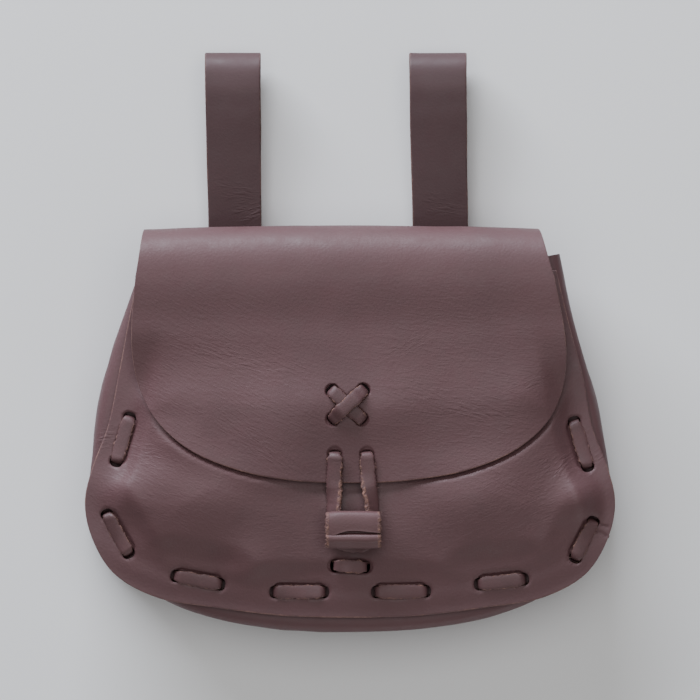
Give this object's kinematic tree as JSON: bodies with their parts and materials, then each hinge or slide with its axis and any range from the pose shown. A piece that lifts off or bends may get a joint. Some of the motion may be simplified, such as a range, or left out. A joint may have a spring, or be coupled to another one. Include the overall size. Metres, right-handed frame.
{
  "type": "leather belt pouch",
  "caption": "Leather belt pouch with a rounded flap, a laced gusset, two belt loops and a toggle closed by a lace, lying on its back.",
  "frame": {"origin": "on the surface that the pouch lies on, under the middle of its outline", "axes": "+X to the right across the front, +Y up the pouch towards its belt loops, +Z out of its front"},
  "size_m": [0.2068, 0.2272, 0.0549],
  "materials": {
    "panel_leather": "smooth brown leather with a low sheen, fine wrinkles and lighter cut edges",
    "strap_leather": "smooth brown leather, satin",
    "lace_leather": "cut lace with rough fibrous edges"
  },
  "bodies": {
    "root": {"back_flap": "panel_leather", "front_panel": "panel_leather", "gusset": "panel_leather", "front_lace": "lace_leather", "back_lace": "lace_leather", "closure_lace": "lace_leather", "toggle": "panel_leather", "toggle_lace": "lace_leather", "belt_loop_left": "strap_leather", "loop_lace_left": "lace_leather", "belt_loop_right": "strap_leather", "loop_lace_right": "lace_leather"}
  },
  "joints": []
}
